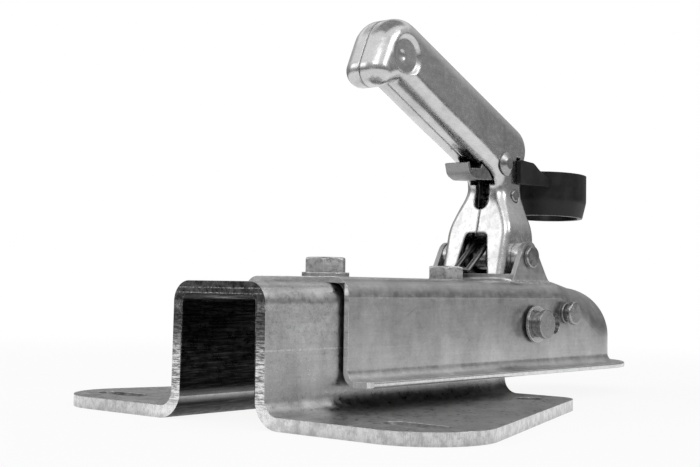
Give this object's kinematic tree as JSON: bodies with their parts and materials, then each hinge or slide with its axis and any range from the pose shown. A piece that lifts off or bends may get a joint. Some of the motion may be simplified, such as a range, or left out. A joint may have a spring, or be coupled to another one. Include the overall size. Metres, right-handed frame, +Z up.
{
  "type": "trailer coupling head",
  "caption": "Pressed ball coupling head on a hat-section bracket for a V drawbar, with a raised locking handle, finger catch, sliding pin, locking jaw and plug holder.",
  "frame": {"origin": "middle of the rear pair of foot slots, on the underside of the feet", "axes": "+X forward to the ball, +Y to the far side, +Z up"},
  "size_m": [0.3402, 0.2532, 0.208],
  "materials": {
    "bracket_zinc": "satin zinc plating",
    "body_zinc": "satin zinc plating",
    "handle_zinc": "bright zinc plating",
    "bright_zinc": "bright zinc plating",
    "bolt_zinc": "zinc-plated bolts",
    "cup_zinc": "pressed, plated sheet",
    "spring_steel": "plated spring wire",
    "forged_steel": "plated forging",
    "black_plastic": "moulded, fine grain"
  },
  "bodies": {
    "base": {"mounting_bracket": "bracket_zinc", "coupling_body": "body_zinc", "ball_cup": "cup_zinc", "rear_bolt": "bolt_zinc", "rear_nut": "bolt_zinc", "rear_nut_washer": "bolt_zinc", "rear_bolt_washer": "bolt_zinc", "front_bolt": "bolt_zinc", "front_nut": "bolt_zinc", "front_nut_washer": "bolt_zinc", "handle_pivot_pin": "bright_zinc", "pivot_bush": "bright_zinc", "pivot_spacer_near": "bright_zinc", "pivot_spacer_far": "bright_zinc", "jaw_rivet": "bright_zinc", "handle_spring": "spring_steel"},
    "handle": {"handle_near_half": "handle_zinc", "handle_far_half": "handle_zinc", "trigger_pin": "bright_zinc", "stay_rivet": "bright_zinc", "plug_holder": "black_plastic"},
    "trigger": {"trigger": "handle_zinc", "trigger_spring": "spring_steel"},
    "slot_pin": {"slot_pin": "bright_zinc", "slot_washer_near": "bright_zinc", "slot_washer_far": "bright_zinc"},
    "jaw": {"locking_jaw": "forged_steel"}
  },
  "joints": [
    {"name": "handle_swing", "type": "hinge", "parent": "base", "child": "handle", "pos_m": [0.1942, 0, 0.0825], "axis": [0, -1, 0], "range_deg": [0, 32.3], "deforming": ["handle_spring"]},
    {"name": "slot_slide", "type": "slide", "parent": "base", "child": "slot_pin", "axis": [1, 0, 0], "range_m": [-0.0001, 0.0233]},
    {"name": "jaw_swing", "type": "hinge", "parent": "base", "child": "jaw", "pos_m": [0.2272, 0, 0.05], "axis": [0, -1, 0], "range_deg": [-0.1, 12.1]},
    {"name": "trigger_pull", "type": "hinge", "parent": "handle", "child": "trigger", "pos_m": [0.1933, 0, 0.1375], "axis": [0, 1, 0], "range_deg": [0, 8], "stiffness_Nm_per_rad": 0.4, "springref_deg": -17.19}
  ],
  "couplings": [
    {"joint": "slot_slide", "follows": "handle_swing", "m_per_rad": 0.041088},
    {"joint": "jaw_swing", "follows": "handle_swing", "ratio": 0.37093}
  ]
}
